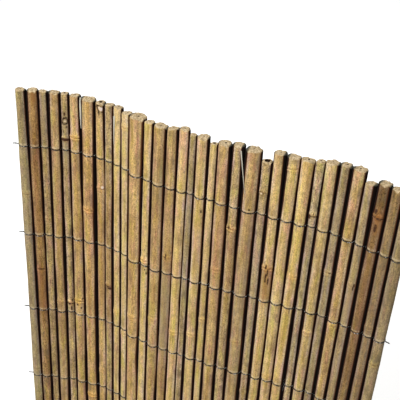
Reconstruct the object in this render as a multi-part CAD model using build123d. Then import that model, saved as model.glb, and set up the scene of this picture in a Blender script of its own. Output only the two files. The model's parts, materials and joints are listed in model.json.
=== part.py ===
from build123d import *

import math
import os
from collections import namedtuple

# Bamboo screening mat: upright canes side by side in a gently waving line, bound by rows of
# paired tie wires. The mat stands on the lower ends of its canes, front to -Y, left end at -X.
# Sizes are in millimetres and angles in degrees.

# Tie wire
WIRE_DIAMETER = 1.1
WIRE_CLEARANCE = 0.1
WIRE_TAIL = 9.0
WIRE_SIDES = 3
WIRE_BENDS_PER_CANE = 3

# Rows of tie wire, counted from the ground. Hand-tied rows aren't quite level: each one
# climbs by its own amount from the left end to the right end.
FIRST_ROW_HEIGHT = 97.0
ROW_SPACING = 170.0
ROW_CLIMBS = [3.0, -6.0, 5.0, 10.0, -9.0]
TOP_MARGIN = 106.0

# Canes
CANE_SIDES = 10
CANE_SLACK = 0.2
KNOT_RISE = 0.4
KNOT_HALF_LENGTH = 5.0
KNOT_TO_ROW = 3.0
KNOT_TO_END = 2.0
PITH_DEPTH = 30.0
PITH_SIDES = 6

# Each cane from left to right:
#   diameter  at half height
#   taper     top diameter less bottom diameter
#   rise      cut end above the nominal top line
#   knot      first knot, measured down from the cut end
#   internode spacing of the knots
#   bow       how far half height stands out to the back of the line through the ends
#   pith      diameter of the hollow in the cut end, or 0 where it is closed
Cane = namedtuple("Cane", "diameter taper rise knot internode bow pith")
CANES = [
    Cane(15.5, 1.2, 2.0, 200.0, 400.0, 0.5, 0.0),
    Cane(17.0, 2.0, 3.0, 360.0, 410.0, -0.4, 0.0),
    Cane(13.5, 1.0, 2.0, 250.0, 420.0, 0.6, 0.0),
    Cane(18.0, -0.6, 3.0, 430.0, 390.0, -0.3, 0.0),
    Cane(13.5, -1.0, 2.0, 85.0, 345.0, 0.9, 3.0),
    Cane(18.5, -0.4, 2.0, 78.0, 342.0, -0.8, 0.0),
    Cane(22.5, 2.2, -1.0, 212.0, 430.0, 0.2, 0.0),
    Cane(15.5, 1.2, -1.0, 165.0, 410.0, 0.7, 5.0),
    Cane(14.5, 1.8, 1.0, 365.0, 390.0, -0.6, 0.0),
    Cane(15.0, 0.6, 2.0, 420.0, 380.0, 0.3, 0.0),
    Cane(16.0, 2.4, -1.0, 28.0, 430.0, 1.0, 0.0),
    Cane(24.0, 4.0, 2.0, 405.0, 430.0, -0.2, 3.0),
    Cane(17.0, -1.8, 2.0, 275.0, 400.0, 0.6, 0.0),
    Cane(20.0, 2.6, 2.0, 390.0, 410.0, -0.5, 0.0),
    Cane(17.5, 1.6, 5.0, 250.0, 400.0, 0.8, 0.0),
    Cane(16.5, -1.0, 9.0, 410.0, 390.0, 0.1, 0.0),
    Cane(11.5, -2.4, 2.0, 205.0, 380.0, -0.9, 0.0),
    Cane(19.5, -1.0, 3.0, 395.0, 420.0, 0.4, 0.0),
    Cane(13.0, -1.6, -4.0, 350.0, 400.0, -0.7, 4.0),
    Cane(21.5, -0.6, 1.0, 240.0, 430.0, 0.5, 3.0),
    Cane(18.0, 0.8, 5.0, 155.0, 410.0, -0.4, 0.0),
    Cane(24.0, 2.8, 3.0, 380.0, 440.0, 0.3, 0.0),
    Cane(15.0, 0.6, -12.0, 57.0, 420.0, 0.9, 8.0),
    Cane(18.5, 1.8, 8.0, 215.0, 410.0, -0.3, 0.0),
    Cane(18.5, 2.8, 7.0, 20.0, 440.0, 0.6, 0.0),
    Cane(19.0, 2.0, 8.0, 218.0, 420.0, -0.8, 3.0),
    Cane(14.0, -1.6, 9.0, 98.0, 400.0, 0.7, 0.0),
    Cane(19.5, 3.0, 12.0, 330.0, 420.0, -0.2, 0.0),
    Cane(16.5, 3.0, 15.0, 200.0, 390.0, 0.8, 0.0),
    Cane(20.0, 2.4, 17.0, 300.0, 430.0, -0.5, 0.0),
    Cane(17.5, 1.0, 1.0, 192.0, 400.0, 0.4, 0.0),
    Cane(19.5, 1.4, 10.0, 58.0, 420.0, -0.6, 0.0),
    Cane(18.0, 1.0, 9.0, 265.0, 410.0, 0.5, 0.0),
    Cane(16.5, 1.2, 7.0, 330.0, 400.0, -0.4, 0.0),
]

# The mat's line seen from above: heading at distances along it from the left end, where a
# positive heading turns to the back. The heading changes evenly from each entry to the next.
BENDS = [
    (0.0, 24.0),
    (90.0, 12.0),
    (145.0, -6.0),
    (195.0, -17.0),
    (255.0, -2.0),
    (300.0, 3.0),
    (450.0, 4.0),
    (500.0, 8.0),
    (550.0, -10.0),
    (640.0, -10.0),
]

# Worked out from the sizes above
ROW_COUNT = len(ROW_CLIMBS)
NOMINAL_TOP = FIRST_ROW_HEIGHT + ROW_SPACING * (ROW_COUNT - 1) + TOP_MARGIN
CANE_GAP = WIRE_DIAMETER + 2 * WIRE_CLEARANCE + CANE_SLACK
WIRE_REACH = WIRE_DIAMETER / 2 + WIRE_CLEARANCE
STRAND_STEP = WIRE_DIAMETER + WIRE_CLEARANCE


def heading_at(distance):
    """Heading of the mat's line in radians, a distance along it from the left end."""
    if distance <= BENDS[0][0]:
        return math.radians(BENDS[0][1])
    for (start, first), (end, last) in zip(BENDS, BENDS[1:]):
        if distance <= end:
            share = (distance - start) / (end - start)
            return math.radians(first + (last - first) * share)
    return math.radians(BENDS[-1][1])


def radius_at(cane, height):
    """Radius of a cane between its knots."""
    return cane.diameter / 2 + cane.taper / 2 * (height / NOMINAL_TOP - 0.5)


def line_of_centres(height):
    """Cane centres at one height, one gap apart, with the line's middle over the origin."""
    centres = [Vector(0, 0, height)]
    travelled = 0.0
    for left, right in zip(CANES, CANES[1:]):
        step = radius_at(left, height) + CANE_GAP + radius_at(right, height)
        heading = heading_at(travelled + step / 2)
        centres.append(centres[-1] + Vector(math.cos(heading), math.sin(heading)) * step)
        travelled += step
    radii = [radius_at(cane, height) for cane in CANES]
    near = min(centre.Y - radius for centre, radius in zip(centres, radii))
    far = max(centre.Y + radius for centre, radius in zip(centres, radii))
    middle = Vector((centres[0].X + centres[-1].X) / 2, (near + far) / 2)
    return [centre - middle for centre in centres]


FEET = line_of_centres(0.0)
HEADS = line_of_centres(NOMINAL_TOP)


def towards_back(index):
    """Unit vector square to the mat's line at one cane."""
    left = FEET[max(index - 1, 0)]
    right = FEET[min(index + 1, len(FEET) - 1)]
    along = (right - left).normalized()
    return Vector(-along.Y, along.X)


def row_height(row, index):
    """Height of a row of tie wire where it passes one cane."""
    from_middle = index / (len(CANES) - 1) - 0.5
    return FIRST_ROW_HEIGHT + ROW_SPACING * row + ROW_CLIMBS[row] * from_middle


def knot_heights(index):
    """Heights of a cane's knots, moved up where one would lie under a tie wire."""
    cane = CANES[index]
    keep_off = KNOT_HALF_LENGTH + STRAND_STEP + KNOT_TO_ROW
    lowest = KNOT_HALF_LENGTH + KNOT_TO_END
    heights = []
    height = NOMINAL_TOP + cane.rise - cane.knot
    while height > lowest:
        clear = height
        for row in range(ROW_COUNT):
            wire = row_height(row, index)
            if abs(clear - wire) < keep_off:
                clear = wire + keep_off
        heights.append(clear)
        height -= cane.internode
    return sorted(heights)


def bow_at(index, height):
    """Depth of a cane's bow: straight from knot to knot, along an arch through its ends."""
    cane = CANES[index]

    def arch(level):
        share = level / NOMINAL_TOP
        return cane.bow * 4 * share * (1 - share)

    levels = [0.0] + knot_heights(index) + [NOMINAL_TOP + cane.rise]
    for low, high in zip(levels, levels[1:]):
        if height <= high:
            break
    share = (height - low) / (high - low)
    return arch(low) + (arch(high) - arch(low)) * share


def axis_at(index, height):
    """Point on a cane's axis: the line from foot to head, moved by the cane's bow."""
    straight = FEET[index] + (HEADS[index] - FEET[index]) * (height / NOMINAL_TOP)
    return straight + towards_back(index) * bow_at(index, height)


def ring(centre, radius, sides):
    """Level polygon that fits inside a circle, as a closed wire."""
    turn = 2 * math.pi / sides
    corners = []
    for side in range(sides):
        angle = (side + 0.5) * turn
        corners.append(centre + Vector(math.cos(angle), math.sin(angle)) * radius)
    return Wire.make_polygon(corners, close=True)


def build_cane(index):
    """One cane from the ground to its cut end, with a ring of swelling at each knot."""
    cane = CANES[index]
    top = NOMINAL_TOP + cane.rise
    stations = [(0.0, 0.0)]
    for knot in knot_heights(index):
        stations.append((knot - KNOT_HALF_LENGTH, 0.0))
        stations.append((knot, KNOT_RISE))
        stations.append((knot + KNOT_HALF_LENGTH, 0.0))
    stations.append((top, 0.0))
    rings = []
    for height, rise in stations:
        rings.append(ring(axis_at(index, height), radius_at(cane, height) + rise, CANE_SIDES))
    solid = Solid.make_loft(rings, ruled=True)
    if cane.pith > 0:
        floor = top - PITH_DEPTH
        hollow = [ring(axis_at(index, height), cane.pith / 2, PITH_SIDES) for height in (floor, top)]
        solid = solid - Solid.make_loft(hollow, ruled=True)
    return solid


def strand_path(row, lift, first_side):
    """Corners of one strand: it passes the canes at the front and back by turns.

    lift is its height over the row's own line. first_side is -1 to start at the front of the
    left cane, or +1 to start at its back.
    """
    centres = []
    reaches = []
    for index, cane in enumerate(CANES):
        height = row_height(row, index) + lift
        centres.append(axis_at(index, height))
        reaches.append(radius_at(cane, height) + WIRE_REACH)
    headings = []
    leans = []
    for index in range(len(CANES) - 1):
        step = centres[index + 1] - centres[index]
        distance = math.hypot(step.X, step.Y)
        headings.append(math.atan2(step.Y, step.X))
        leans.append(math.acos((reaches[index] + reaches[index + 1]) / distance))

    def outward(index, angle, reach):
        return centres[index] + Vector(math.cos(angle), math.sin(angle)) * reach

    left = headings[0] + math.pi
    corners = [outward(0, left, reaches[0] + WIRE_TAIL), outward(0, left, reaches[0])]
    side = first_side
    for index in range(len(CANES)):
        if index == 0:
            start = left
            sweep = -side * (math.pi - leans[0])
        elif index == len(CANES) - 1:
            start = headings[-1] + math.pi - side * leans[-1]
            sweep = -side * (math.pi - leans[-1])
        else:
            start = headings[index - 1] + math.pi - side * leans[index - 1]
            sweep = -side * (math.pi - leans[index - 1] - leans[index])
            sweep += headings[index] - headings[index - 1]
        part = sweep / WIRE_BENDS_PER_CANE
        for bend in range(WIRE_BENDS_PER_CANE):
            angle = start + part * (bend + 0.5)
            corners.append(outward(index, angle, reaches[index] / math.cos(part / 2)))
        side = -side
    right = headings[-1]
    corners.append(outward(-1, right, reaches[-1]))
    corners.append(outward(-1, right, reaches[-1] + WIRE_TAIL))
    return corners


def build_strand(row, lift, first_side):
    """One tie wire: a slender bar with mitred corners along the strand's path."""
    path = strand_path(row, lift, first_side)
    half = WIRE_DIAMETER / 2
    sections = []
    for index, corner in enumerate(path):
        before = path[max(index - 1, 0)]
        after = path[min(index + 1, len(path) - 1)]
        arriving = (corner - before) if index > 0 else (after - corner)
        leaving = (after - corner) if index < len(path) - 1 else arriving
        arriving = arriving.normalized()
        leaving = leaving.normalized()
        along = (arriving + leaving).normalized()
        mitre = 1 / along.dot(arriving)
        across = Vector(-along.Y, along.X) * mitre
        corners = []
        for spoke in range(WIRE_SIDES):
            angle = spoke * 2 * math.pi / WIRE_SIDES
            rise = Vector(0, 0, half * math.sin(angle))
            corners.append(corner + across * (half * math.cos(angle)) + rise)
        sections.append(Wire.make_polygon(corners, close=True))
    return Solid.make_loft(sections, ruled=True)


def build_parts():
    """Every piece of the mat by name."""
    parts = {}
    for index in range(len(CANES)):
        parts[f"cane_{index + 1:02d}"] = build_cane(index)
    for row in range(ROW_COUNT):
        parts[f"tie_wire_{row + 1}_upper"] = build_strand(row, STRAND_STEP / 2, -1)
        parts[f"tie_wire_{row + 1}_lower"] = build_strand(row, -STRAND_STEP / 2, 1)
    return parts


os.makedirs("parts", exist_ok=True)
for name, solid in build_parts().items():
    export_step(solid, f"parts/{name}.step")
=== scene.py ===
import json
import math
import random
from collections import namedtuple

import bpy
import numpy as np
from mathutils import Matrix, Vector


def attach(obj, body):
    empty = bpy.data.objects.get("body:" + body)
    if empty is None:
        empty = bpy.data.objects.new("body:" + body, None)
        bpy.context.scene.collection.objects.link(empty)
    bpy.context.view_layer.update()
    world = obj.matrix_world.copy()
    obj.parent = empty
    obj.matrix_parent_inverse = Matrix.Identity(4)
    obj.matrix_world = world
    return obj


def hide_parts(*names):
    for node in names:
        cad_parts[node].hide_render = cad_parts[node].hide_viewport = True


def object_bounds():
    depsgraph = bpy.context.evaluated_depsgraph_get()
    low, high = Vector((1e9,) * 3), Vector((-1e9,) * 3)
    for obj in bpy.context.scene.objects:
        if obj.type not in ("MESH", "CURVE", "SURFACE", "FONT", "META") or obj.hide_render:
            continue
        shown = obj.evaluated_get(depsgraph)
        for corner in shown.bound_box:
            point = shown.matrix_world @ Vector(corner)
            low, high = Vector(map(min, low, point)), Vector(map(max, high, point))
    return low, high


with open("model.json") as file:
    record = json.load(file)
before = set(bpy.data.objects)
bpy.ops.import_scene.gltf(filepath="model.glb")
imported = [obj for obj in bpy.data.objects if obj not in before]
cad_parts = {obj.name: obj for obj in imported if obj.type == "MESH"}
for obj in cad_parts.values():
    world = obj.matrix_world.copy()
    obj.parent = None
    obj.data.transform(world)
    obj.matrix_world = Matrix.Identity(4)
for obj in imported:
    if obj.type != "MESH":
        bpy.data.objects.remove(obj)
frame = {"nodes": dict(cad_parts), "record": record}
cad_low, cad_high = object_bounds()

# Bamboo screening mat. Lengths in this script are millimetres in the CAD frame and become metres
# only when a mesh is made. Canes count from 0 at the left end.

MM = 0.001
CANE_COUNT = 34
ROW_COUNT = 5

# Camera
CAMERA_PLACE = (525.0, -1317.0, 1767.0)
CAMERA_YAW = -21.98
CAMERA_PITCH = 35.25
CAMERA_ROLL = 3.83
CAMERA_FOCAL = 1108.7
IMAGE_WIDTH = 400
SENSOR_WIDTH = 36.0
TOWARDS_CAMERA = math.radians(-90.0 - CAMERA_YAW)

# Cane mesh
SEGMENTS = 44
LEVEL_STEP = 15.0
KNOT_LEVELS = (-14, -9, -6, -4.5, -3.4, -2.6, -2.0, -1.5, -1.1, -0.7, -0.2, 0.3, 0.8,
               1.4, 2.0, 2.7, 3.5, 4.4, 5.5, 7, 9, 12, 16)
ROW_LEVELS = (-6, -3.2, -2.3, -1.5, -0.6, 0.6, 1.5, 2.3, 3.2, 6)
BUD_LEVELS = (-6, -5, -4, -3.2, -2.4, -1.6, -0.8, 0, 0.8, 1.6, 2.4, 3.2, 4, 5, 6)
END_LEVELS = (12.0, 8.0, 5.0, 3.0, 1.6)
MARK_STEP = 1.5
SIDE_FILL = 0.95
SIDE_LIMIT = 0.97
SIDE_WANDER = 0.4

# Uneven skin: its outline, its slow waves along the cane, the groove above a bud, and where the
# tie wires leave it as the CAD has it
OUTLINE_ORDERS = (2, 3, 5, 7, 9)
OUTLINE_SIZE = 0.16
WAVE_LENGTHS = (60.0, 140.0, 310.0)
WAVE_SIZE = 0.05
GROOVE_DEPTH = 0.35
WIRE_CLEAR = (0.6, 2.6)

# Place along a cane counted from its nearest knot, for the material
FAR_FROM_KNOT = 60.0
KNOT_SPAN = 40.0

# Cut end: slope in degrees, chips of the rim, and the hollow or the dimple of a solid pith
CUT_SLOPES = (3.0, 11.0)
CUT_TURN = 0.8
CUT_ROUGHNESS = 0.35
CHIP_BASE = 0.7
CHIP_COUNT = 6
CHIP_WIDTHS = (0.12, 0.42)
CHIP_DEPTHS = (0.4, 3.2)
CHIP_LIMIT = 3.6
HOLLOW_DEPTH = 16.0
DIMPLE_RADII = (0.6, 1.3)
DIMPLE_DEPTH = 1.6

# Tie wire
WIRE_RADIUS = 0.6
WIRE_REACH = 0.6
WIRE_SIDES = 8
WIRE_ARC_STEPS = 9
TAIL_LENGTH = 9.0
TAIL_TURNS = 1.5

# Branch scars: cane, distance below the cut end, degrees to the right of the side that faces the
# camera, width, and how dark the rim and how pale the middle are
Bud = namedtuple("Bud", "cane drop angle width rim pale")
BUDS = [
    Bud(4, 49, 0, 8.5, 0.85, 0.45),
    Bud(7, 8.0, 2, 11.5, 1.0, 1.0),
    Bud(7, 158, 12, 6.5, 0.3, 1.0),
    Bud(10, 27, 30, 5.5, 0.6, 0.5),
    Bud(22, 56, -35, 5.5, 0.5, 0.7),
    Bud(31, 54, -14, 9.0, 0.4, 0.2),
]

# Knots that stand out more than the rest, and those with a dark ring
STRONG_KNOTS = {4: 1.6, 5: 1.9, 6: 2.1, 12: 1.7, 20: 2.1, 23: 1.9, 26: 1.5, 28: 1.6, 31: 1.7}
DARK_KNOTS = {4: 1.0, 8: 0.8, 26: 0.9, 31: 0.8}
PLAIN_KNOT = 0.2

# Torn strips of sheath: the cane that one hangs on, how far below its cut end and at what angle it
# starts, the cane that it leans on, how far below that cut end and at what angle it ends, and width
Shred = namedtuple("Shred", "cane start angle_start other end angle_end width")
SHREDS = [
    Shred(5, 3, 58, 5, 60, 62, 3.4),
    Shred(9, 16, -55, 9, 68, -62, 2.6),
    Shred(20, 7, 14, 21, 76, -44, 1.7),
]
SHRED_STEPS = 10
SHRED_THICKNESS = 0.5

# How wide the painted shade in the crease between each cane and the next is at the cut ends and
# lower down, from 0, hardly there, to 3
CREASES = [
    (2, 1), (0.8, 0.8), (2.5, 1), (1, 1.5), (1.3, 0.8), (2, 0.8), (0.8, 1.8), (1.5, 0.6),
    (0.6, 1.3), (0.3, 1.5), (1, 1.6), (0, 0.3), (0.4, 1.3), (0.5, 0.5), (1, 0.4), (0.2, 0.1),
    (0.6, 1.3), (1, 1), (0.5, 0.8), (2, 0.8), (3, 1), (0, 1), (0.5, 1.7), (2.6, 0.6),
    (0, 0.7), (0, 1.6), (0, 1.6), (1.7, 0.5), (2.4, 2.3), (0.3, 0.8), (3.2, 1.8), (1, 1), (1, 1),
]

# How squarely a flank faces its neighbour where the painted crease shade begins, for crease widths 0,
# 1, 2 and 3
CREASE_EDGES = (0.92, 0.77, 0.66, 0.56)
CREASE_STEP = 85.0
CREASE_SOFTNESS = 0.08
# How far the painted cool sheen reaches outside the painted crease shade
SHEEN_REACH = 0.55

# Stains: cane, where they start and end below the cut end, middle and half width in degrees from
# the side that faces the camera, and strength
Stain = namedtuple("Stain", "cane start end angle spread strength")
RUST = [
    Stain(1, -5, 26, 15, 40, 0.9),
    Stain(1, 0, 330, 0, 120, 0.35),
    Stain(1, 352, 460, 0, 120, 0.75),
    Stain(3, 120, 300, 30, 60, 0.3),
    Stain(5, 120, 330, 10, 60, 0.25),
    Stain(7, 190, 420, 0, 90, 0.45),
    Stain(8, 150, 460, 0, 90, 0.5),
    Stain(11, 160, 330, -40, 30, 0.25),
    Stain(14, 130, 330, 0, 50, 0.2),
    Stain(17, 105, 250, 10, 50, 0.25),
    Stain(19, 100, 330, 0, 60, 0.3),
    Stain(20, 150, 330, 0, 70, 0.45),
    Stain(21, 110, 300, 30, 40, 0.3),
    Stain(23, 208, 285, 0, 100, 0.75),
    Stain(25, 0, 60, 40, 30, 0.35),
    Stain(30, 180, 260, 0, 60, 0.6),
    Stain(31, 40, 90, -10, 70, 0.9),
    Stain(31, 80, 400, 0, 90, 0.4),
]
GREY = [
    Stain(0, 0, 900, 0, 180, 0.5),
    Stain(2, 0, 110, 0, 120, 0.45),
    Stain(4, 30, 130, 0, 120, 0.6),
    Stain(13, 60, 140, 20, 60, 0.5),
    Stain(14, 280, 460, 0, 120, 0.6),
    Stain(16, 60, 330, 0, 120, 0.5),
    Stain(21, 120, 500, 0, 120, 0.35),
    Stain(22, 90, 400, 0, 120, 0.35),
    Stain(26, 90, 400, 0, 120, 0.4),
    Stain(28, 0, 600, 0, 120, 0.45),
    Stain(30, 0, 600, 0, 120, 0.55),
    Stain(32, 0, 900, 0, 180, 0.4),
    Stain(33, 0, 900, 0, 180, 0.5),
]

# Small dark marks, given as the stains are
MARKS = [
    Stain(1, 354, 358, 10, 50, 0.6),
    Stain(4, 33, 40, -6, 18, 0.8),
    Stain(4, 58, 63, 22, 10, 0.8),
    Stain(4, 66, 72, -24, 9, 0.7),
    Stain(4, 81, 86, 0, 60, 1.0),
    Stain(4, 419, 424, 24, 12, 0.9),
    Stain(4, 428, 433, -20, 14, 0.9),
    Stain(4, 436, 446, 8, 12, 0.9),
    Stain(5, 410, 414, 30, 10, 0.8),
    Stain(5, 424, 429, -26, 12, 0.8),
    Stain(5, 431, 436, 14, 12, 0.7),
    Stain(8, 366, 371, 0, 45, 1.0),
    Stain(12, 244, 247, -20, 10, 0.7),
    Stain(12, 251, 254, 12, 10, 0.7),
    Stain(12, 279, 282, 14, 10, 0.8),
    Stain(12, 285, 289, -14, 9, 0.8),
    Stain(12, 291, 297, 6, 9, 0.8),
    Stain(14, 239, 252, -26, 9, 0.75),
    Stain(17, 104, 108, 20, 8, 0.7),
    Stain(17, 131, 137, 14, 9, 0.8),
    Stain(20, 148, 153, -40, 14, 0.7),
    Stain(21, 102, 107, -2, 7, 0.8),
    Stain(23, 206, 213, -22, 9, 0.9),
    Stain(23, 214, 228, -4, 8, 0.8),
    Stain(23, 224, 243, -18, 9, 0.8),
    Stain(23, 232, 246, 8, 9, 0.8),
    Stain(26, 90, 94, -6, 7, 0.7),
    Stain(26, 95, 104, -62, 22, 1.0),
    Stain(26, 106, 113, 18, 7, 0.7),
    Stain(28, 196, 199, -10, 12, 0.6),
    Stain(28, 203, 206, 14, 10, 0.6),
    Stain(30, 184, 190, -2, 9, 0.9),
    Stain(30, 189, 198, -8, 8, 0.7),
    Stain(31, 44, 52, -52, 16, 0.9),
    Stain(31, 70, 84, -30, 16, 0.8),
    Stain(31, 74, 108, 22, 9, 0.6),
]

# Canes that are lighter or darker than their kind, and warmer or cooler
TINTS = {
    1: (1.14, 0.0), 2: (0.94, 0.05), 4: (1.12, 0.03), 5: (1.12, 0.0), 6: (1.08, 0.04),
    7: (1.08, 0.02), 9: (1.08, 0.0), 11: (1.12, 0.02), 12: (1.08, 0.0), 15: (1.06, 0.02),
    16: (1.06, 0.0), 17: (1.06, 0.0), 19: (1.10, 0.0), 20: (1.12, 0.03), 22: (1.14, 0.02),
    24: (1.06, 0.0), 25: (1.08, 0.03), 26: (1.36, -0.02), 29: (1.10, 0.0), 30: (1.08, 0.04),
    31: (0.90, -0.06),
}

# How strongly each kind of cane is mottled
MOTTLE = {"bamboo_straw": 0.9, "bamboo_khaki": 1.5, "bamboo_tan": 1.1, "bamboo_brown": 1.6}

# Colours of the bamboo, dark to light, by the record's slot
TONES = {
    "bamboo_straw": ((0.46, 0.30, 0.115), (0.63, 0.44, 0.19), (0.74, 0.55, 0.28)),
    "bamboo_khaki": ((0.29, 0.195, 0.09), (0.44, 0.315, 0.155), (0.57, 0.425, 0.225)),
    "bamboo_tan": ((0.36, 0.215, 0.088), (0.52, 0.34, 0.14), (0.63, 0.44, 0.21)),
    "bamboo_brown": ((0.20, 0.105, 0.038), (0.33, 0.195, 0.075), (0.45, 0.29, 0.125)),
}

# Factors that tint the skin in patches and at knots, and that paint a cool sheen on the flanks beside
# each crease
HUES = [
    (0.34, (1.06, 0.91, 1.16)),
    (0.44, (1.0, 0.99, 1.06)),
    (0.55, (1.02, 1.01, 0.90)),
    (0.66, (0.94, 1.02, 0.70)),
]
KNOT_AMBER = (0.93, 0.77, 0.54)
KNOT_BLOOM = (1.45, 1.42, 1.2)
UNSHEENED_FLANK = (0.98, 0.97, 0.90)
SHEENED_FLANK = (0.97, 1.07, 1.5)

# Colours of stains, marks, scars, cut ends, and of painted shade and painted highlight
WEATHERED = (0.17, 0.115, 0.06)
RUSTY = (0.30, 0.135, 0.042)
GREYED = (0.30, 0.245, 0.16)
SPECK = (0.11, 0.065, 0.03)
KNOT_RING = (0.07, 0.03, 0.014)
DARK_MARK = (0.06, 0.026, 0.012)
SCAR_RIM = (0.03, 0.014, 0.007)
SCAR_MIDDLE = (0.80, 0.63, 0.46)
# Painted highlight just above each tie wire
PAINTED_TIE_HIGHLIGHT = (0.74, 0.60, 0.38)
# Painted shadow just under each tie wire
PAINTED_TIE_SHADOW = (0.05, 0.032, 0.018)
# Painted shade in the creases between canes, brown and then black
CREASE_SHADE_BROWN = (0.11, 0.036, 0.013)
CREASE_SHADE_BLACK = (0.007, 0.003, 0.002)
CUT_FIBRE = (0.40, 0.28, 0.14)
CUT_FACE = (0.72, 0.57, 0.35)
CUT_FRAYED = (0.27, 0.17, 0.075)
# Dark of the pith dimple, and painted shade down the bore of a hollow cane
PITH_AND_BORE_SHADE = (0.03, 0.017, 0.009)
# Painted shade on the cut end's edge beside each crease
CUT_EDGE_SHADE = (0.06, 0.058, 0.042)
BLEACHED = (0.60, 0.56, 0.46)

# Colours of the wire
ZINC_DARK = (0.012, 0.012, 0.011)
ZINC_DULL = (0.04, 0.039, 0.035)
# Bright zinc spangle, partly a painted glint
ZINC_SPANGLE_GLINT = (0.75, 0.75, 0.72)
WIRE_RUST = (0.13, 0.07, 0.035)


def smooth(value, low, high):
    """0 below low and 1 above high, with a soft step between them."""
    share = np.clip((value - low) / (high - low), 0.0, 1.0)
    return share * share * (3.0 - 2.0 * share)


def bump(value, middle, width):
    return np.exp(-(((value - middle) / width) ** 2))


def turned(angle):
    """Angle brought to within half a turn of 0."""
    return (angle + math.pi) % (2 * math.pi) - math.pi


def node_points(name):
    mesh = frame["nodes"][name].data
    return np.array([vertex.co[:] for vertex in mesh.vertices]) / MM


class Cane:
    """A cane's axis, radius, knots and hollow, as its CAD node has them."""

    def __init__(self, index):
        self.index = index
        self.node = f"cane_{index + 1:02d}"
        corners = node_points(self.node)
        points = np.unique(np.round(corners, 2), axis=0)
        points = points[np.argsort(points[:, 2])]
        groups = np.split(points, np.where(np.diff(points[:, 2]) > 0.1)[0] + 1)
        stations = []
        for group in groups:
            if len(group) >= 10:
                middle = group.mean(0)
                reach = np.hypot(group[:, 0] - middle[0], group[:, 1] - middle[1]).max()
                stations.append((middle[2], middle[0], middle[1], reach))
        self.levels, self.x, self.y, radii = (np.array(column) for column in zip(*stations))
        self.knots = [float(level) for level in self.levels[2:-1:3]]
        self.top = float(self.levels[-1])
        self.end_radii = (float(radii[0]), float(radii[-1]))
        at_top = corners[np.abs(corners[:, 2] - self.top) < 0.05]
        x, y = self.centre(self.top)
        apart = np.hypot(at_top[:, 0] - x, at_top[:, 1] - y)
        inner = apart[apart < self.end_radii[1] * 0.8]
        self.hollow = float(inner.max()) if len(inner) else 0.0

    def centre(self, height):
        return np.interp(height, self.levels, self.x), np.interp(height, self.levels, self.y)

    def radius(self, height):
        low, high = self.end_radii
        return low + (high - low) * np.asarray(height) / self.top


canes = [Cane(index) for index in range(CANE_COUNT)]
MAT_HEIGHT = cad_high[2] / MM


def line_angle(index):
    """Direction of the mat's line at a cane, seen from above."""
    left = canes[max(index - 1, 0)]
    right = canes[min(index + 1, CANE_COUNT - 1)]
    middle = canes[index].top / 2
    x0, y0 = left.centre(middle)
    x1, y1 = right.centre(middle)
    return math.atan2(y1 - y0, x1 - x0)


def strand_heights(row, strand):
    """Height of one tie wire at each cane, from its CAD node."""
    points = node_points(f"tie_wire_{row + 1}_{strand}")
    rough = points[:, 2].mean()
    heights = []
    for cane in canes:
        x, y = cane.centre(rough)
        near = np.hypot(points[:, 0] - x, points[:, 1] - y) < cane.radius(rough) + 3.0
        heights.append(float(points[near, 2].mean()))
    return heights


strands = {}
for row in range(ROW_COUNT):
    for strand in ("upper", "lower"):
        strands[row, strand] = strand_heights(row, strand)
row_heights = [
    [(strands[row, "upper"][i] + strands[row, "lower"][i]) / 2 for i in range(CANE_COUNT)]
    for row in range(ROW_COUNT)
]


def new_piece(name, points, faces, floats, colours, material, node):
    """Makes a mesh piece from millimetre points, with its attributes, and puts it on the frame."""
    mesh = bpy.data.meshes.new(name)
    mesh.from_pydata((np.asarray(points) * MM).tolist(), [], faces)
    for key, values in floats.items():
        attribute = mesh.attributes.new(key, "FLOAT", "POINT")
        attribute.data.foreach_set("value", np.asarray(values, np.float32).ravel())
    for key, values in colours.items():
        attribute = mesh.attributes.new(key, "FLOAT_COLOR", "POINT")
        attribute.data.foreach_set("color", np.asarray(values, np.float32).ravel())
    mesh.shade_smooth()
    mesh.set_sharp_from_angle(angle=math.radians(50))
    mesh.materials.append(material)
    piece = bpy.data.objects.new(name, mesh)
    bpy.context.scene.collection.objects.link(piece)
    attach(piece, "root")
    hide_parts(node)


def ring_faces(ring_count, sides):
    """Quads between rings, and fans to a first and a last point."""
    faces = []
    first = 0
    last = 1 + ring_count * sides
    for side in range(sides):
        after = (side + 1) % sides
        faces.append((first, 1 + after, 1 + side))
        base = 1 + (ring_count - 1) * sides
        faces.append((last, base + side, base + after))
    for ring in range(ring_count - 1):
        low = 1 + ring * sides
        high = low + sides
        for side in range(sides):
            after = (side + 1) % sides
            faces.append((low + side, low + after, high + after, high + side))
    return faces


def cane_levels(cane):
    """Heights of a cane's rings, close together where its shape changes."""
    levels = list(np.arange(LEVEL_STEP, cane.top - LEVEL_STEP / 2, LEVEL_STEP))
    for knot in cane.knots:
        levels += [knot + step for step in KNOT_LEVELS]
    for heights in row_heights:
        levels += [heights[cane.index] + step for step in ROW_LEVELS]
    for bud in BUDS:
        if bud.cane == cane.index:
            levels += [cane.top - bud.drop + step for step in BUD_LEVELS]
    for mark in MARKS:
        if mark.cane == cane.index:
            levels += list(np.arange(cane.top - mark.end - 3.0, cane.top - mark.start + 3.0, MARK_STEP))
    levels += [cane.top - step for step in END_LEVELS] + [1.0, 3.0, 6.0]
    levels = sorted(level for level in levels if 0.99 < level < cane.top - 1.59)
    kept = [levels[0]]
    for level in levels[1:]:
        if level - kept[-1] > 0.35:
            kept.append(level)
    return np.array(kept)


def stain_amount(table, cane, z, theta):
    total = np.zeros(z.shape)
    for stain in table:
        if stain.cane == cane.index:
            drop = cane.top - z
            soft = 1.0 + 0.2 * (stain.end - stain.start)
            along = smooth(drop, stain.start - soft, stain.start + soft)
            along = along * (1.0 - smooth(drop, stain.end - soft, stain.end + soft))
            off = turned(theta - TOWARDS_CAMERA - math.radians(stain.angle))
            around = bump(off, 0.0, math.radians(stain.spread))
            total = np.maximum(total, stain.strength * along * around)
    return total


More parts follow.
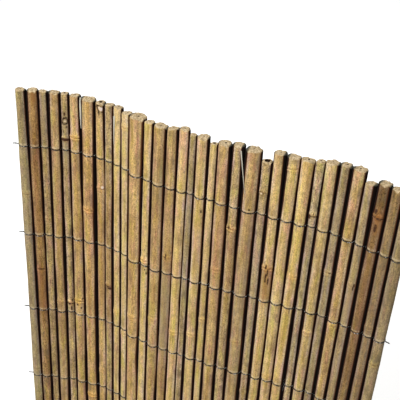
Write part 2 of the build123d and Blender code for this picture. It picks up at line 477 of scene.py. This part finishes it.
def side_wander(gap, z):
    """How far the meeting line of two neighbours, the gap's own number, lies to the right."""
    draw = random.Random(500 + gap)
    total = 0.0
    for length, size in ((410.0, 0.6), (150.0, 0.5), (57.0, 0.25)):
        total = total + size * np.sin(z / length * 2 * math.pi + draw.uniform(0.0, 2 * math.pi))
    return SIDE_WANDER * total


def crease_edge(gap, z):
    """How squarely a flank faces its neighbour where the painted shade of their crease begins."""
    draw = random.Random(700 + gap)
    upper, lower = CREASES[gap]
    drops = np.arange(0.0, MAT_HEIGHT + CREASE_STEP, CREASE_STEP)
    widths = [upper, (upper + lower) / 2] + [lower + draw.uniform(-0.6, 0.6) for _ in drops[2:]]
    width = np.interp(MAT_HEIGHT - z, drops, widths)
    return np.interp(width, range(len(CREASE_EDGES)), CREASE_EDGES)


def shred_points(shred):
    """Corners of a torn strip of sheath, four at each of its stations."""
    ends = []
    for index, drop, angle in (
        (shred.cane, shred.start, shred.angle_start), (shred.other, shred.end, shred.angle_end),
    ):
        cane = canes[index]
        height = cane.top - drop
        x, y = cane.centre(height)
        turn = TOWARDS_CAMERA + math.radians(angle)
        reach = float(cane.radius(height)) + 0.8
        ends.append(Vector((x + reach * math.cos(turn), y + reach * math.sin(turn), height)))
    out = Vector((math.cos(TOWARDS_CAMERA), math.sin(TOWARDS_CAMERA), 0.0))
    across = Vector((-out.y, out.x, 0.0))
    points = []
    for step in range(SHRED_STEPS):
        share = step / (SHRED_STEPS - 1)
        spot = ends[0].lerp(ends[1], share) + out * 1.2 * math.sin(math.pi * share)
        half = shred.width / 2 * (1.0 - 0.7 * share)
        for side, lift in ((-1, 0), (1, 0), (1, 1), (-1, 1)):
            points.append(spot + across * half * side + out * SHRED_THICKNESS * lift)
    return [tuple(point) for point in points]


def shred_faces(first):
    faces = [(first, first + 1, first + 2, first + 3)]
    for step in range(SHRED_STEPS - 1):
        low = first + 4 * step
        for side in range(4):
            after = (side + 1) % 4
            faces.append((low + after, low + side, low + 4 + side, low + 4 + after))
    last = first + 4 * (SHRED_STEPS - 1)
    faces.append((last + 3, last + 2, last + 1, last))
    return faces


def build_cane(cane, material, tint):
    """One cane with its knots, branch scars, cut end and slightly uneven skin."""
    draw = random.Random(100 + cane.index)
    line = line_angle(cane.index)
    angles = np.linspace(0.0, 2 * math.pi, SEGMENTS, endpoint=False)
    levels = cane_levels(cane)
    z, theta = np.meshgrid(levels, angles, indexing="ij")
    radius = cane.radius(z)
    facing = np.abs(np.cos(theta - line))

    clear = np.ones(z.shape)
    for heights in row_heights:
        clear = clear * smooth(np.abs(z - heights[cane.index]), *WIRE_CLEAR)
    to_right = np.cos(theta - line)
    wander = np.where(to_right > 0, side_wander(cane.index, z), -side_wander(cane.index - 1, z))
    fill = SIDE_FILL + wander
    swell = fill * clear * facing ** 3

    for order in OUTLINE_ORDERS:
        phase = draw.uniform(0.0, 2 * math.pi)
        twist = draw.uniform(-0.002, 0.002)
        size = draw.uniform(0.3, 1.0) * OUTLINE_SIZE / order
        swell = swell + clear * size * np.cos(order * theta + phase + twist * z)
    for length in WAVE_LENGTHS:
        phase = draw.uniform(0.0, 2 * math.pi)
        swell = swell + clear * WAVE_SIZE * np.sin(z / length * 2 * math.pi + phase)

    knot_place = np.full(z.shape, FAR_FROM_KNOT)
    knot_show = np.zeros(z.shape)
    dark_knot = np.zeros(z.shape)
    bud_side = draw.uniform(0.0, 2 * math.pi)
    for knot in cane.knots:
        strength = STRONG_KNOTS.get(cane.index, 1.0) * draw.uniform(0.85, 1.15)
        slope = math.tan(math.radians(draw.uniform(1.0, 4.0)))
        lean = draw.uniform(0.0, 2 * math.pi)
        off = z - knot + radius * slope * np.cos(theta - lean)
        uneven = 1.0 + 0.35 * np.cos(2 * theta + lean) + 0.25 * np.cos(5 * theta - 2 * lean)
        rise = 0.5 * uneven * bump(off, -1.2, 0.9) - 0.3 * bump(off, 0.5, 0.8)
        rise = rise + 0.7 * bump(off, 3.4, 2.2) + 0.45 * bump(off, 1.0, 7.0)
        swell = swell + strength * rise * (0.5 + 0.5 * np.sin(theta - line) ** 2)
        groove = bump(turned(theta - bud_side), 0.0, 0.4)
        reach = smooth(off, 6.0, 16.0) * (1.0 - smooth(off, 30.0, 95.0))
        swell = swell - GROOVE_DEPTH * groove * reach * clear
        nearer = np.abs(off) < np.abs(knot_place)
        knot_place = np.where(nearer, off, knot_place)
        knot_show = np.where(nearer, min(strength / 2, 1.0), knot_show)
        dark_knot = np.where(nearer, DARK_KNOTS.get(cane.index, PLAIN_KNOT), dark_knot)
        bud_side += math.pi + draw.uniform(-0.3, 0.3)

    bud_rim = np.zeros(z.shape)
    bud_heart = np.zeros(z.shape)
    for bud in BUDS:
        if bud.cane == cane.index:
            across = turned(theta - TOWARDS_CAMERA - math.radians(bud.angle)) * radius
            upward = (z - cane.top + bud.drop) * 0.7
            around = np.arctan2(upward, across)
            uneven = 1.0 + 0.08 * np.cos(2 * around + bud.drop) + 0.08 * np.cos(3 * around - bud.drop)
            apart = np.hypot(across, upward) / (bud.width / 2 * uneven)
            swell = swell + 0.9 * bump(apart, 0.7, 0.45)
            swell = swell + (2.0 * bud.pale - 0.8) * bump(apart, 0.0, 0.5)
            bud_rim = np.maximum(bud_rim, bud.rim * bump(apart, 0.98, 0.34))
            bud_heart = np.maximum(bud_heart, bud.pale * bump(apart, 0.0, 0.55))

    near_side = smooth(facing, 0.75, 0.95)
    limit = SIDE_LIMIT + wander
    swell = np.where(swell > limit, swell + (limit - swell) * near_side, swell)
    radius = radius + swell

    # The saw's cut slopes a little, is chipped, and never stands above the CAD's own cut end.
    cut_slope = math.tan(math.radians(draw.uniform(*CUT_SLOPES)))
    cut_lean = TOWARDS_CAMERA + math.pi + draw.uniform(-CUT_TURN, CUT_TURN)
    top_radius = radius[-1]
    mean_radius = float(top_radius.mean())
    chips = np.array([draw.uniform(0.0, CHIP_BASE) for _ in angles])
    for _ in range(CHIP_COUNT):
        middle = draw.uniform(0.0, 2 * math.pi)
        width = draw.uniform(*CHIP_WIDTHS)
        chips = chips + draw.uniform(*CHIP_DEPTHS) * bump(turned(angles - middle), 0.0, width)
    chips = np.minimum(chips, CHIP_LIMIT)

    def cut_drop(share):
        return mean_radius * cut_slope * (1.0 + share * np.cos(angles - cut_lean))

    near_top = smooth(z, cane.top - 14.0, cane.top - 1.0)
    at_rim = smooth(z, cane.top - 8.0, cane.top - 1.6)
    z_side = z - near_top * cut_drop(1.0)[None, :] - at_rim * chips[None, :]

    hole = cane.hollow if cane.hollow > 0 else draw.uniform(*DIMPLE_RADII)
    depth = HOLLOW_DEPTH if cane.hollow > 0 else DIMPLE_DEPTH
    rough = [np.array([draw.uniform(0.0, CUT_ROUGHNESS) for _ in angles]) for _ in range(4)]
    whole = np.ones(SEGMENTS)
    cap = [
        (top_radius - 0.15, 1.0 + chips, 1.0, 0.2, 0.0),
        (top_radius - 0.55, 0.4 + chips, 0.97, 0.8, 0.0),
        (top_radius - 1.3, 0.05 + 0.75 * chips, 0.9, 1.0, 0.0),
        (top_radius * 0.74, 0.3 * chips + rough[0], 0.74, 1.0, 0.0),
        (top_radius * 0.6, 0.05 + rough[1], 0.6, 1.0, 0.0),
        (hole + (top_radius * 0.6 - hole) * 0.5, 0.1 + rough[2], 0.4, 1.0, 0.1),
        (hole * 1.25 * whole, 0.1 + rough[3], 0.2, 1.0, 0.4),
        (hole * whole, 0.5, 0.1, 1.0, 1.0),
        (hole * 0.92 * whole, depth * 0.5, 0.0, 1.0, 1.0),
        (hole * 0.8 * whole, depth, 0.0, 1.0, 1.0),
    ]
    foot_radius = radius[0]
    rings_r = [foot_radius * 0.5, foot_radius - 0.5, foot_radius - 0.1]
    rings_z = [0 * angles, 0 * angles, 0 * angles + 0.4]
    cut = [1.0, 1.0, 0.0] + [0.0] * len(levels)
    dark = [0.0] * (3 + len(levels))
    rings_r += list(radius)
    rings_z += list(z_side)
    for ring_radius, below, share, is_cut, is_dark in cap:
        rings_r.append(ring_radius)
        rings_z.append(cane.top - below - cut_drop(share))
        cut.append(is_cut)
        dark.append(is_dark)
    rings_r = np.array(rings_r)
    rings_z = np.array(rings_z)
    x, y = cane.centre(rings_z)
    rings_x = x + rings_r * np.cos(angles)
    rings_y = y + rings_r * np.sin(angles)
    foot_x, foot_y = cane.centre(0.0)
    tip_x, tip_y = cane.centre(cane.top)
    tip_z = float(rings_z[-1].mean()) - 0.3
    points = [(foot_x, foot_y, 0.0)]
    points += list(zip(rings_x.ravel(), rings_y.ravel(), rings_z.ravel()))
    points.append((tip_x, tip_y, tip_z))

    def field(values, end=0.0, cap_values=None):
        """A value for every point: the side's own, the cut end's where given, and a constant."""
        below = np.full((3, SEGMENTS), end)
        above = np.full((len(cap), SEGMENTS), end) if cap_values is None else cap_values
        rows = np.concatenate([below, values, above]).ravel()
        return np.concatenate([[end], rows, [end]])

    def per_ring(values, foot, tip):
        rows = np.repeat(np.array(values), SEGMENTS)
        return np.concatenate([[foot], rows, [tip]])

    # Painted shade in the crease beside each neighbour, on the flank and on the cut end's edge
    crease_shade = np.zeros(z.shape)
    dust = np.zeros(z.shape)
    cap_sides = rings_r[-len(cap):] / top_radius * np.cos(angles - line)
    cap_crease_shade = np.zeros(cap_sides.shape)
    for gap, side in ((cane.index - 1, -1), (cane.index, 1)):
        if 0 <= gap < CANE_COUNT - 1:
            edge = crease_edge(gap, z)
            crease_shaded = smooth(side * to_right, edge - CREASE_SOFTNESS, edge + CREASE_SOFTNESS)
            crease_shade = np.maximum(crease_shade, crease_shaded)
            share = 1.0 if side < 0 else 0.8
            # Painted cool sheen on the flank just outside the painted crease shade
            dust = np.maximum(dust, share * smooth(side * to_right, edge - SHEEN_REACH, edge - 0.06))
            edge = float(crease_edge(gap, cane.top))
            cap_crease_shade = np.maximum(cap_crease_shade, smooth(side * cap_sides, edge - 0.1, edge + 0.1))
    # Painted shadow just under each tie wire
    tie = np.zeros(z.shape)
    # Painted highlight just above each tie wire
    rub = np.zeros(z.shape)
    for heights in row_heights:
        tie = np.maximum(tie, bump(z - heights[cane.index], -0.7, 1.5))
        rub = np.maximum(rub, bump(z - heights[cane.index], 2.6, 1.2))
    floats = {
        "knot": field(knot_place, FAR_FROM_KNOT),
        "knot_show": field(knot_show),
        "dark_knot": field(dark_knot),
        "crease_shade": field(crease_shade, 0.0, cap_crease_shade),
        "dust": field(dust),
        "bleach": field(np.zeros(z.shape)),
        "mark": field(stain_amount(MARKS, cane, z, theta)),
        "tie": field(tie),
        "rub": field(rub),
        "rust": field(stain_amount(RUST, cane, z, theta)),
        "grey": field(stain_amount(GREY, cane, z, theta)),
        "bud_rim": field(bud_rim),
        "bud_heart": field(bud_heart),
        "cut": per_ring(cut, 1.0, 1.0),
        "pith": per_ring(dark, 0.5, 1.0),
    }
    faces = ring_faces(len(rings_r), SEGMENTS)
    for shred in SHREDS:
        if shred.cane == cane.index:
            faces += shred_faces(len(points))
            corners = shred_points(shred)
            points += corners
            for key, values in floats.items():
                plain = {"knot": FAR_FROM_KNOT, "bleach": 1.0}.get(key, 0.0)
                floats[key] = np.concatenate([values, np.full(len(corners), plain)])
    shade = np.tile(np.array([*tint, 1.0]), (len(points), 1))
    name = f"bamboo_{cane.node}"
    new_piece(name, points, faces, floats, {"tint": shade}, material, cane.node)


def strand_path(row, strand):
    """Points along one tie wire: front and back of the canes by turns, crossing in the gaps."""
    draw = random.Random(900 + row)
    heights = strands[row, strand]
    wobble = [draw.uniform(-0.4, 0.4) for _ in canes]
    centres = []
    reaches = []
    for cane, height, off in zip(canes, heights, wobble):
        x, y = cane.centre(height)
        centres.append(Vector((x, y, height + off)))
        reaches.append(float(cane.radius(height)) + WIRE_REACH)
    headings = []
    leans = []
    for i in range(CANE_COUNT - 1):
        step = centres[i + 1] - centres[i]
        headings.append(math.atan2(step.y, step.x))
        leans.append(math.acos((reaches[i] + reaches[i + 1]) / math.hypot(step.x, step.y)))

    def around(i, angle, share):
        sag = Vector((0, 0, -0.5 * math.sin(math.pi * share)))
        out = Vector((math.cos(angle), math.sin(angle), 0.0))
        return centres[i] + out * reaches[i] + sag

    def tail(i, angle, up):
        """Points of a twisted tail from the cane outward."""
        out = Vector((math.cos(angle), math.sin(angle), 0.0))
        across = Vector((-out.y, out.x, 0.0))
        lift = 0.6 if up else -0.6
        root = centres[i] + Vector((0, 0, -lift))
        points = []
        for step in range(1, 13):
            share = step / 12
            turn = 2 * math.pi * TAIL_TURNS * share
            spot = root + out * (reaches[i] + TAIL_LENGTH * share - 0.15)
            points.append(spot + Vector((0, 0, lift * math.cos(turn))) + across * lift * math.sin(turn))
        return points

    up = strand == "upper"
    side = -1 if up else 1
    left = headings[0] + math.pi
    points = list(reversed(tail(0, left, up)))
    for i in range(CANE_COUNT):
        if i == 0:
            start = left - side * 0.35
            sweep = -side * (math.pi - leans[0] - 0.35)
        elif i == CANE_COUNT - 1:
            start = headings[-1] + math.pi - side * leans[-1]
            sweep = -side * (math.pi - leans[-1] - 0.35)
        else:
            start = headings[i - 1] + math.pi - side * leans[i - 1]
            sweep = -side * (math.pi - leans[i - 1] - leans[i]) + headings[i] - headings[i - 1]
        for step in range(WIRE_ARC_STEPS + 1):
            share = step / WIRE_ARC_STEPS
            points.append(around(i, start + sweep * share, share))
        side = -side
    points += tail(CANE_COUNT - 1, headings[-1], up)
    return points


def build_strand(row, strand, material):
    """One tie wire as a round tube."""
    path = strand_path(row, strand)
    points = []
    normal = Vector((0, 0, 1))
    for i, spot in enumerate(path):
        along = (path[min(i + 1, len(path) - 1)] - path[max(i - 1, 0)]).normalized()
        normal = (normal - along * normal.dot(along)).normalized()
        other = along.cross(normal)
        for side in range(WIRE_SIDES):
            turn = 2 * math.pi * side / WIRE_SIDES
            points.append(spot + (normal * math.cos(turn) + other * math.sin(turn)) * WIRE_RADIUS)
    points = [path[0]] + points + [path[-1]]
    faces = ring_faces(len(path), WIRE_SIDES)
    node = f"tie_wire_{row + 1}_{strand}"
    points = [tuple(point) for point in points]
    new_piece(f"twisted_{node}", points, faces, {}, {}, material, node)


class Tree:
    """A material's node tree, with short calls to add and join nodes."""

    def __init__(self, name):
        self.material = bpy.data.materials.new(name)
        self.material.use_nodes = True
        self.nodes = self.material.node_tree.nodes
        self.links = self.material.node_tree.links
        self.nodes.clear()

    def put(self, socket, value):
        if isinstance(value, bpy.types.NodeSocket):
            self.links.new(value, socket)
        elif isinstance(value, tuple) and len(value) == 3 and len(socket.default_value) == 4:
            socket.default_value = (*value, 1.0)
        else:
            socket.default_value = value

    def add(self, kind, inputs=None, **settings):
        node = self.nodes.new(kind)
        for key, value in settings.items():
            setattr(node, key, value)
        for key, value in (inputs or {}).items():
            self.put(node.inputs[key], value)
        return node

    def attribute(self, name, output="Fac"):
        return self.add("ShaderNodeAttribute", attribute_name=name).outputs[output]

    def math(self, operation, first, second):
        return self.add("ShaderNodeMath", {0: first, 1: second}, operation=operation).outputs[0]

    def noise(self, place, scale, detail=3.0, roughness=0.6):
        inputs = {"Vector": place, "Scale": scale, "Detail": detail, "Roughness": roughness}
        return self.add("ShaderNodeTexNoise", inputs).outputs["Fac"]

    def stretched(self, place, scale):
        return self.add("ShaderNodeMapping", {"Vector": place, "Scale": scale}).outputs["Vector"]

    def ramp(self, value, stops):
        node = self.add("ShaderNodeValToRGB", {"Fac": value})
        elements = node.color_ramp.elements
        while len(elements) < len(stops):
            elements.new(0.5)
        for element, (position, colour) in zip(elements, stops):
            element.position = position
            grey = not isinstance(colour, tuple)
            element.color = (colour, colour, colour, 1.0) if grey else (*colour, 1.0)
        return node.outputs["Color"]

    def mix(self, share, first, second, blend="MIX"):
        node = self.add("ShaderNodeMix", data_type="RGBA", blend_type=blend)
        self.put(node.inputs["Factor"], share)
        self.put(node.inputs[6], first)
        self.put(node.inputs[7], second)
        return node.outputs[2]

    def finish(self, shader):
        output = self.add("ShaderNodeOutputMaterial")
        self.links.new(shader, output.inputs["Surface"])
        return self.material


def bamboo(slot):
    """Dry bamboo skin with lengthwise streaks, blotches, knot rings, stains, pale cut ends and painted
    shade, highlight and sheen.
    """
    dark, middle, light = TONES[slot]
    strength = MOTTLE[slot]
    tree = Tree(slot)
    place = tree.add("ShaderNodeTexCoord").outputs["Object"]
    long_place = tree.stretched(place, (1.0, 1.0, 0.012))
    patch_place = tree.stretched(place, (1.0, 1.0, 0.22))
    grain_place = tree.stretched(place, (1.0, 1.0, 0.4))
    fibre = tree.noise(long_place, 900.0, 2.0)
    streak = tree.noise(long_place, 260.0, 3.0)
    patch = tree.noise(patch_place, 70.0, 6.0, 0.65)
    grain = tree.noise(grain_place, 260.0, 4.0, 0.7)
    blot = tree.noise(grain_place, 85.0, 4.0, 0.6)
    hue = tree.noise(patch_place, 110.0, 3.0, 0.6)
    pepper = tree.noise(tree.stretched(place, (1.0, 1.0, 0.7)), 620.0, 2.0, 0.6)

    blend = tree.math("ADD", tree.math("MULTIPLY", streak, 0.4), tree.math("MULTIPLY", patch, 0.6))
    colour = tree.ramp(blend, [(0.37, dark), (0.5, middle), (0.63, light)])
    lines = tree.ramp(fibre, [(0.3, 0.76), (0.52, 1.0), (0.75, 1.1)])
    colour = tree.mix(1.0, colour, lines, "MULTIPLY")
    mottle = [(0.33, 1.0 - 0.26 * strength), (0.5, 1.0), (0.68, 1.0 + 0.13 * strength)]
    colour = tree.mix(1.0, colour, tree.ramp(grain, mottle), "MULTIPLY")
    fine = [(0.34, 1.0 - 0.38 * strength), (0.5, 1.0), (0.66, 1.0 + 0.21 * strength)]
    colour = tree.mix(1.0, colour, tree.ramp(pepper, fine), "MULTIPLY")
    colour = tree.mix(1.0, colour, tree.ramp(hue, HUES), "MULTIPLY")
    colour = tree.mix(1.0, colour, tree.attribute("tint", "Color"), "MULTIPLY")
    weather = tree.ramp(blot, [(0.52, 0.0), (0.7, 0.55 * strength)])
    colour = tree.mix(weather, colour, WEATHERED)

    blotch = tree.ramp(patch, [(0.3, 0.25), (0.6, 1.0)])
    rust = tree.math("MULTIPLY", tree.attribute("rust"), blotch)
    colour = tree.mix(rust, colour, RUSTY)
    grey = tree.math("MULTIPLY", tree.attribute("grey"), blotch)
    colour = tree.mix(grey, colour, GREYED)

    specks = tree.add("ShaderNodeTexVoronoi", {"Vector": patch_place, "Scale": 330.0})
    specks = tree.ramp(specks.outputs["Distance"], [(0.10, 1.0), (0.2, 0.0)])
    rare = tree.ramp(tree.noise(patch_place, 70.0, 2.0), [(0.54, 0.0), (0.66, 0.8)])
    colour = tree.mix(tree.math("MULTIPLY", specks, rare), colour, SPECK)

    off = tree.math("ADD", tree.math("MULTIPLY", tree.attribute("knot"), 1 / KNOT_SPAN), 0.5)
    uneven = tree.ramp(grain, [(0.36, 0.15), (0.58, 1.0)])
    ring = tree.ramp(off, [(0.45, 0.0), (0.485, 0.9), (0.515, 1.0), (0.555, 0.0)])
    ring = tree.math("MULTIPLY", ring, tree.attribute("dark_knot"))
    broken = tree.ramp(grain, [(0.32, 0.4), (0.55, 1.0)])
    show = tree.math("MULTIPLY", tree.attribute("knot_show"), broken)
    amber = tree.ramp(off, [
        (0.34, 0.0), (0.41, 0.8), (0.46, 0.1), (0.52, 0.1),
        (0.55, 1.0), (0.60, 0.9), (0.64, 0.1), (0.84, 0.0),
    ])
    bloom = tree.ramp(off, [
        (0.42, 0.0), (0.47, 1.0), (0.515, 0.9), (0.54, 0.0),
        (0.61, 0.0), (0.65, 0.9), (0.71, 0.6), (0.82, 0.0),
    ])
    colour = tree.mix(tree.math("MULTIPLY", amber, show), colour, KNOT_AMBER, "MULTIPLY")
    colour = tree.mix(tree.math("MULTIPLY", bloom, show), colour, KNOT_BLOOM, "MULTIPLY")
    ring = tree.ramp(tree.math("MULTIPLY", ring, uneven), [(0.1, 0.0), (0.5, 1.0)])
    colour = tree.mix(ring, colour, KNOT_RING)
    broken = tree.ramp(pepper, [(0.36, 0.5), (0.56, 1.0)])
    mark = tree.math("MULTIPLY", tree.attribute("mark"), broken)
    colour = tree.mix(tree.ramp(mark, [(0.15, 0.0), (0.5, 1.0)]), colour, DARK_MARK)
    broken = tree.ramp(pepper, [(0.40, 0.3), (0.54, 1.0)])
    rim = tree.math("MULTIPLY", tree.attribute("bud_rim"), broken)
    colour = tree.mix(tree.ramp(rim, [(0.15, 0.0), (0.5, 1.0)]), colour, SCAR_RIM)
    heart = tree.ramp(tree.attribute("bud_heart"), [(0.24, 0.0), (0.48, 1.0)])
    colour = tree.mix(heart, colour, SCAR_MIDDLE)

    # Painted cool sheen on the flanks beside each crease, in patches
    patchy = tree.ramp(patch, [(0.3, 0.55), (0.65, 1.0)])
    dust = tree.math("MULTIPLY", tree.attribute("dust"), patchy)
    flank = tree.ramp(dust, [(0.0, UNSHEENED_FLANK), (1.0, SHEENED_FLANK)])
    colour = tree.mix(1.0, colour, flank, "MULTIPLY")
    # Grain that breaks up the painted highlight above each tie wire and the painted shadow under it
    tie_breakup = tree.ramp(grain, [(0.38, 0.2), (0.56, 1.0)])
    rub = tree.math("MULTIPLY", tree.attribute("rub"), tie_breakup)
    colour = tree.mix(tree.math("MULTIPLY", rub, 0.65), colour, PAINTED_TIE_HIGHLIGHT)
    # Painted shadow just under each tie wire
    tie = tree.math("MULTIPLY", tree.attribute("tie"), tie_breakup)
    colour = tree.mix(tree.ramp(tie, [(0.2, 0.0), (0.6, 1.0)]), colour, PAINTED_TIE_SHADOW)
    # Painted shade in the creases between canes, brown and then black
    crease_shade = tree.attribute("crease_shade")
    colour = tree.mix(tree.ramp(crease_shade, [(0.05, 0.0), (0.45, 1.0)]), colour, CREASE_SHADE_BROWN)
    colour = tree.mix(tree.ramp(crease_shade, [(0.45, 0.0), (1.0, 1.0)]), colour, CREASE_SHADE_BLACK)

    cut = tree.attribute("cut")
    dots = tree.add("ShaderNodeTexVoronoi", {"Vector": place, "Scale": 900.0}).outputs["Distance"]
    dots = tree.ramp(dots, [(0.15, CUT_FIBRE), (0.45, CUT_FACE)])
    frayed = tree.ramp(tree.noise(place, 330.0, 3.0, 0.7), [(0.44, 0.0), (0.6, 0.8)])
    face = tree.mix(frayed, dots, CUT_FRAYED)
    # Dark pith dimple, and painted shade down the bore of a hollow cane
    pith = tree.ramp(tree.attribute("pith"), [(0.3, 0.0), (0.8, 1.0)])
    face = tree.mix(pith, face, PITH_AND_BORE_SHADE)
    # Painted shade on the cut end's edge beside each crease
    face = tree.mix(crease_shade, face, CUT_EDGE_SHADE)
    colour = tree.mix(cut, colour, face)
    colour = tree.mix(tree.attribute("bleach"), colour, BLEACHED)

    rough = tree.ramp(patch, [(0.3, 0.5), (0.7, 0.72)])
    rough = tree.mix(tree.math("MAXIMUM", cut, crease_shade), rough, (1.0, 1.0, 1.0))
    height = tree.math("ADD", tree.math("MULTIPLY", fibre, 0.5), tree.math("MULTIPLY", streak, 0.5))
    saw = tree.noise(tree.stretched(place, (1.0, 0.25, 1.0)), 1300.0, 2.0)
    height = tree.mix(cut, height, saw)
    relief = tree.add("ShaderNodeBump", {"Strength": 0.35, "Distance": 0.0005, "Height": height})
    skin = tree.add("ShaderNodeBsdfPrincipled", {
        "Base Color": colour,
        "Roughness": rough,
        "Specular IOR Level": 0.1,
        "Normal": relief.outputs["Normal"],
    })
    return tree.finish(skin.outputs["BSDF"])


def galvanised():
    """Weathered zinc-coated wire with dull and rusty places, and bright specks that are partly painted
    glints.
    """
    tree = Tree("galvanised_wire")
    place = tree.add("ShaderNodeTexCoord").outputs["Object"]
    spangle = tree.noise(place, 420.0, 4.0)
    spots = tree.noise(place, 60.0, 3.0)
    # Zinc spangle, whose bright specks are partly painted glints
    colour = tree.ramp(spangle, [(0.46, ZINC_DARK), (0.57, ZINC_DULL), (0.63, ZINC_SPANGLE_GLINT)])
    rust = tree.ramp(spots, [(0.56, 0.0), (0.7, 0.55)])
    colour = tree.mix(rust, colour, WIRE_RUST)
    rough = tree.ramp(spangle, [(0.3, 0.55), (0.7, 0.36)])
    relief = tree.add("ShaderNodeBump", {"Strength": 0.3, "Distance": 0.0002, "Height": spangle})
    metal = tree.add("ShaderNodeBsdfPrincipled", {
        "Base Color": colour,
        "Metallic": 0.5,
        "Roughness": rough,
        "Normal": relief.outputs["Normal"],
    })
    return tree.finish(metal.outputs["BSDF"])


slot_of = {part["node"]: part["material_slot"] for part in frame["record"]["subparts"]}
skins = {slot: bamboo(slot) for slot in TONES}
wire_finish = galvanised()

tints = random.Random(7)
for cane in canes:
    value, warmth = TINTS.get(cane.index, (tints.uniform(0.96, 1.05), tints.uniform(-0.03, 0.03)))
    tint = (value * (1 + warmth), value, value * (1 - 1.5 * warmth))
    build_cane(cane, skins[slot_of[cane.node]], tint)
for row in range(ROW_COUNT):
    build_strand(row, "upper", wire_finish)
    build_strand(row, "lower", wire_finish)


def seen_share(tree_nodes, tree_links):
    """1 for rays that show the background: from the camera, in a reflection or through glass."""
    path = tree_nodes.new("ShaderNodeLightPath")
    total = path.outputs["Is Camera Ray"]
    for name in ("Is Glossy Ray", "Is Transmission Ray"):
        most = tree_nodes.new("ShaderNodeMath")
        most.operation = "MAXIMUM"
        tree_links.new(total, most.inputs[0])
        tree_links.new(path.outputs[name], most.inputs[1])
        total = most.outputs[0]
    return total


# Floor
FLOOR_SIZE = 24.0
FLOOR_COLOUR = (0.86, 0.86, 0.85)
FLOOR_GLOW = 0.6
FLOOR_FADE = (1.1, 2.8)
WHITE = (1.0, 1.0, 1.0)

tree = Tree("pale_floor")
diffuse = tree.add("ShaderNodeBsdfDiffuse", {"Color": FLOOR_COLOUR})
seen = seen_share(tree.nodes, tree.links)
shine = tree.math("MULTIPLY", seen, FLOOR_GLOW)
glow = tree.add("ShaderNodeEmission", {"Color": WHITE, "Strength": shine})
near = tree.add("ShaderNodeAddShader")
tree.links.new(diffuse.outputs[0], near.inputs[0])
tree.links.new(glow.outputs[0], near.inputs[1])
far = tree.add("ShaderNodeEmission", {"Color": WHITE, "Strength": seen})
place = tree.add("ShaderNodeTexCoord").outputs["Object"]
apart = tree.add("ShaderNodeVectorMath", {0: place}, operation="LENGTH").outputs["Value"]
reach = {"Value": apart, "From Min": FLOOR_FADE[0], "From Max": FLOOR_FADE[1]}
fade = tree.add("ShaderNodeMapRange", reach, interpolation_type="SMOOTHSTEP")
both = tree.add("ShaderNodeMixShader", {0: fade.outputs[0]})
tree.links.new(near.outputs[0], both.inputs[1])
tree.links.new(far.outputs[0], both.inputs[2])
floor_finish = tree.finish(both.outputs[0])

mesh = bpy.data.meshes.new("floor")
half = FLOOR_SIZE / 2
corners = [(-half, -half, 0), (half, -half, 0), (half, half, 0), (-half, half, 0)]
mesh.from_pydata(corners, [], [(0, 1, 2, 3)])
mesh.materials.append(floor_finish)
floor = bpy.data.objects.new("floor", mesh)
bpy.context.scene.collection.objects.link(floor)

# World
WORLD_LIGHT = 0.15
world = bpy.data.worlds.new("studio")
bpy.context.scene.world = world
world.use_nodes = True
nodes, links = world.node_tree.nodes, world.node_tree.links
nodes.clear()
ambient = nodes.new("ShaderNodeBackground")
ambient.inputs["Color"].default_value = (*WHITE, 1.0)
ambient.inputs["Strength"].default_value = WORLD_LIGHT
white = nodes.new("ShaderNodeBackground")
white.inputs["Color"].default_value = (*WHITE, 1.0)
white.inputs["Strength"].default_value = 1.0
choose = nodes.new("ShaderNodeMixShader")
links.new(seen_share(nodes, links), choose.inputs[0])
links.new(ambient.outputs[0], choose.inputs[1])
links.new(white.outputs[0], choose.inputs[2])
output = nodes.new("ShaderNodeOutputWorld")
links.new(choose.outputs[0], output.inputs["Surface"])


def softbox(name, azimuth, elevation, distance, size, power, target):
    """Square lamp that faces a target. Azimuth counts from the front, positive to the right."""
    turn = math.radians(azimuth)
    climb = math.radians(elevation)
    across = math.cos(climb)
    away = Vector((math.sin(turn) * across, -math.cos(turn) * across, math.sin(climb)))
    lamp = bpy.data.lights.new(name, "AREA")
    lamp.shape = "SQUARE"
    lamp.size = size
    lamp.energy = power
    lamp_object = bpy.data.objects.new(name, lamp)
    lamp_object.location = Vector(target) + away * distance
    lamp_object.rotation_mode = "QUATERNION"
    lamp_object.rotation_quaternion = (-away).to_track_quat("-Z", "Y")
    bpy.context.scene.collection.objects.link(lamp_object)


softbox("key", azimuth=-16, elevation=42, distance=2.6, size=0.6, power=66.0, target=(0, 0, 0.6))
softbox("back", azimuth=195, elevation=35, distance=2.6, size=0.9, power=30.0, target=(0, 0, 0.5))

# Camera
yaw, pitch, roll = (math.radians(angle) for angle in (CAMERA_YAW, CAMERA_PITCH, CAMERA_ROLL))
forward = Vector((math.sin(yaw) * math.cos(pitch), math.cos(yaw) * math.cos(pitch), -math.sin(pitch)))
level = Vector((math.cos(yaw), -math.sin(yaw), 0.0))
upright = level.cross(forward)
right = level * math.cos(roll) + upright * math.sin(roll)
up = upright * math.cos(roll) - level * math.sin(roll)
camera_data = bpy.data.cameras.new("camera")
camera_data.sensor_width = SENSOR_WIDTH
camera_data.lens = CAMERA_FOCAL / IMAGE_WIDTH * SENSOR_WIDTH
camera_data.clip_start = 0.05
camera_data.clip_end = 60.0
camera = bpy.data.objects.new("camera", camera_data)
axes = Matrix((right, up, -forward)).transposed().to_4x4()
camera.matrix_world = Matrix.Translation(Vector(CAMERA_PLACE) * MM) @ axes
bpy.context.scene.collection.objects.link(camera)
bpy.context.scene.camera = camera

bpy.context.scene.view_settings.view_transform = "Standard"
